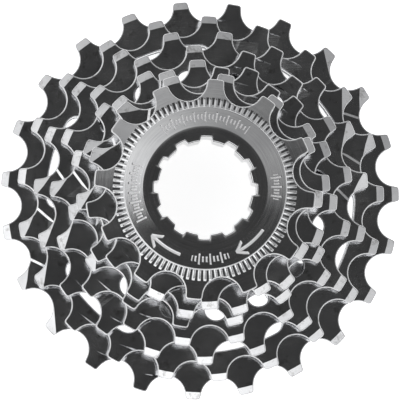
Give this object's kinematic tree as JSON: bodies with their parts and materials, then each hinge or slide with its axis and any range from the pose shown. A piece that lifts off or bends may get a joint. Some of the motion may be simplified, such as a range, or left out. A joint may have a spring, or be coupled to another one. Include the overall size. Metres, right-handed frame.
{
  "type": "bicycle cassette sprocket set",
  "caption": "Stack of loose toothed bicycle sprockets with spacers between them, a splined bore and a notched, threaded lockring on top.",
  "frame": {"origin": "on the axis, at the back face of the largest sprocket", "axes": "+Z along the axis from the largest sprocket to the lockring; +Y points to the wide spline tooth"},
  "size_m": [0.0949, 0.0949, 0.0386],
  "materials": {
    "polished_sprocket": "polished plated steel with fine grinding marks and bright rolled edges",
    "spacer": "black moulded plastic",
    "washer": "plain rolled steel",
    "lockring": "satin turned steel, plated"
  },
  "bodies": {
    "largest_sprocket": {"sprocket_23t": "polished_sprocket"},
    "spacer_1_body": {"spacer_1": "spacer"},
    "cog_21t_body": {"sprocket_21t": "polished_sprocket"},
    "spacer_2_body": {"spacer_2": "spacer"},
    "cog_19t_body": {"sprocket_19t": "polished_sprocket"},
    "spacer_3_body": {"spacer_3": "spacer"},
    "cog_17t_body": {"sprocket_17t": "polished_sprocket"},
    "spacer_4_body": {"spacer_4": "spacer"},
    "cog_15t_body": {"sprocket_15t": "polished_sprocket"},
    "spacer_5_body": {"spacer_5": "spacer"},
    "cog_14t_body": {"sprocket_14t": "polished_sprocket"},
    "spacer_6_body": {"spacer_6": "spacer"},
    "cog_13t_body": {"sprocket_13t": "polished_sprocket"},
    "spacer_7_body": {"spacer_7": "spacer"},
    "cog_12t_body": {"sprocket_12t": "polished_sprocket"},
    "washer_body": {"lockring_washer": "washer"},
    "lockring_body": {"lockring": "lockring"}
  },
  "joints": [
    {"name": "spacer_1_slide", "type": "slide", "parent": "largest_sprocket", "child": "spacer_1_body", "axis": [0, 0, 1], "range_m": [0, 0.008]},
    {"name": "cog_21t_slide", "type": "slide", "parent": "spacer_1_body", "child": "cog_21t_body", "axis": [0, 0, 1], "range_m": [0, 0.008]},
    {"name": "spacer_2_slide", "type": "slide", "parent": "cog_21t_body", "child": "spacer_2_body", "axis": [0, 0, 1], "range_m": [0, 0.008]},
    {"name": "cog_19t_slide", "type": "slide", "parent": "spacer_2_body", "child": "cog_19t_body", "axis": [0, 0, 1], "range_m": [0, 0.008]},
    {"name": "spacer_3_slide", "type": "slide", "parent": "cog_19t_body", "child": "spacer_3_body", "axis": [0, 0, 1], "range_m": [0, 0.008]},
    {"name": "cog_17t_slide", "type": "slide", "parent": "spacer_3_body", "child": "cog_17t_body", "axis": [0, 0, 1], "range_m": [0, 0.008]},
    {"name": "spacer_4_slide", "type": "slide", "parent": "cog_17t_body", "child": "spacer_4_body", "axis": [0, 0, 1], "range_m": [0, 0.008]},
    {"name": "cog_15t_slide", "type": "slide", "parent": "spacer_4_body", "child": "cog_15t_body", "axis": [0, 0, 1], "range_m": [0, 0.008]},
    {"name": "spacer_5_slide", "type": "slide", "parent": "cog_15t_body", "child": "spacer_5_body", "axis": [0, 0, 1], "range_m": [0, 0.008]},
    {"name": "cog_14t_slide", "type": "slide", "parent": "spacer_5_body", "child": "cog_14t_body", "axis": [0, 0, 1], "range_m": [0, 0.008]},
    {"name": "spacer_6_slide", "type": "slide", "parent": "cog_14t_body", "child": "spacer_6_body", "axis": [0, 0, 1], "range_m": [0, 0.008]},
    {"name": "cog_13t_slide", "type": "slide", "parent": "spacer_6_body", "child": "cog_13t_body", "axis": [0, 0, 1], "range_m": [0, 0.008]},
    {"name": "spacer_7_slide", "type": "slide", "parent": "cog_13t_body", "child": "spacer_7_body", "axis": [0, 0, 1], "range_m": [0, 0.008]},
    {"name": "cog_12t_slide", "type": "slide", "parent": "spacer_7_body", "child": "cog_12t_body", "axis": [0, 0, 1], "range_m": [0, 0.008]},
    {"name": "lockring_lift", "type": "slide", "parent": "cog_12t_body", "child": "washer_body", "axis": [0, 0, 1], "range_m": [0, 0.005]},
    {"name": "lockring_turn", "type": "hinge", "parent": "washer_body", "child": "lockring_body", "pos_m": [0, 0, 0.0366], "axis": [0, 0, 1], "range_deg": [0, 1620]}
  ],
  "couplings": [
    {"joint": "lockring_lift", "follows": "lockring_turn", "m_per_rad": 0.00015915}
  ]
}
